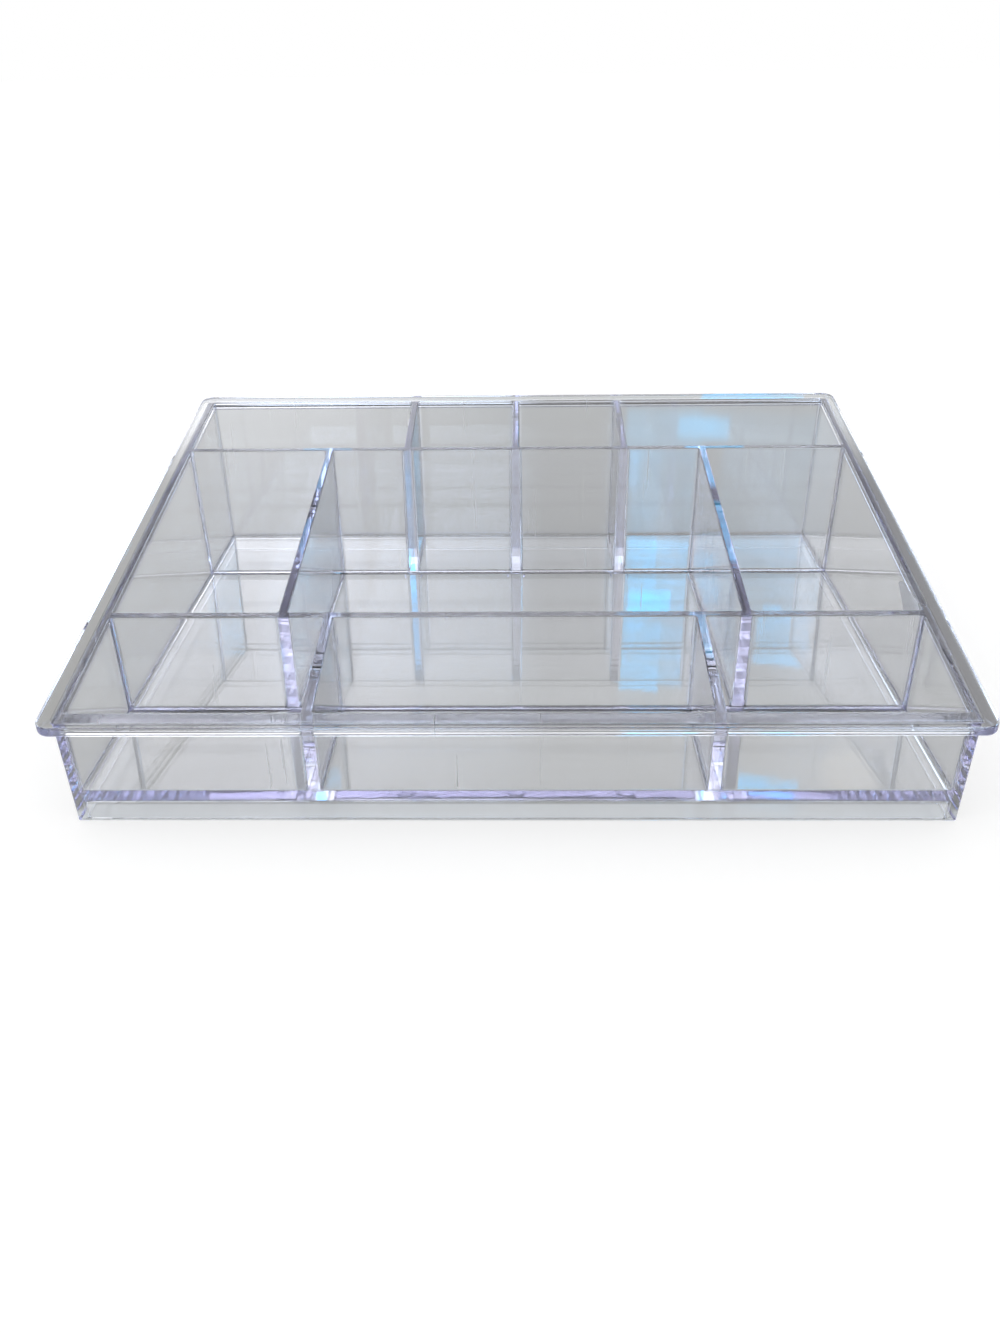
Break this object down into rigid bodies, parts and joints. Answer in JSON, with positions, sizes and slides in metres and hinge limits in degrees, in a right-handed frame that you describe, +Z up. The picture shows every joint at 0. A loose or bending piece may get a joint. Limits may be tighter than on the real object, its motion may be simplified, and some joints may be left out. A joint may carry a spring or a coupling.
{
  "type": "vanity organizer",
  "caption": "Clear plastic vanity organizer: a raked wedge tray with a flanged rim, a raised floor and upright dividers that form open compartments for cosmetics.",
  "frame": {"origin": "on the table, under the middle of the rim's outline", "axes": "+X across the front from left to right, +Y from the low front to the tall back, +Z up"},
  "size_m": [0.305, 0.242, 0.0799],
  "materials": {
    "clear_plastic": "clear, polished, with a faint violet tint along its edges"
  },
  "bodies": {
    "root": {"front_wall": "clear_plastic", "back_wall": "clear_plastic", "left_wall": "clear_plastic", "right_wall": "clear_plastic", "floor_panel": "clear_plastic", "rim_front": "clear_plastic", "rim_back": "clear_plastic", "rim_left": "clear_plastic", "rim_right": "clear_plastic", "rear_cross_divider": "clear_plastic", "front_cross_divider": "clear_plastic", "rear_divider_left": "clear_plastic", "rear_divider_center": "clear_plastic", "rear_divider_right": "clear_plastic", "middle_divider_left": "clear_plastic", "middle_divider_right": "clear_plastic", "front_divider_left": "clear_plastic", "front_divider_right": "clear_plastic"}
  },
  "joints": []
}
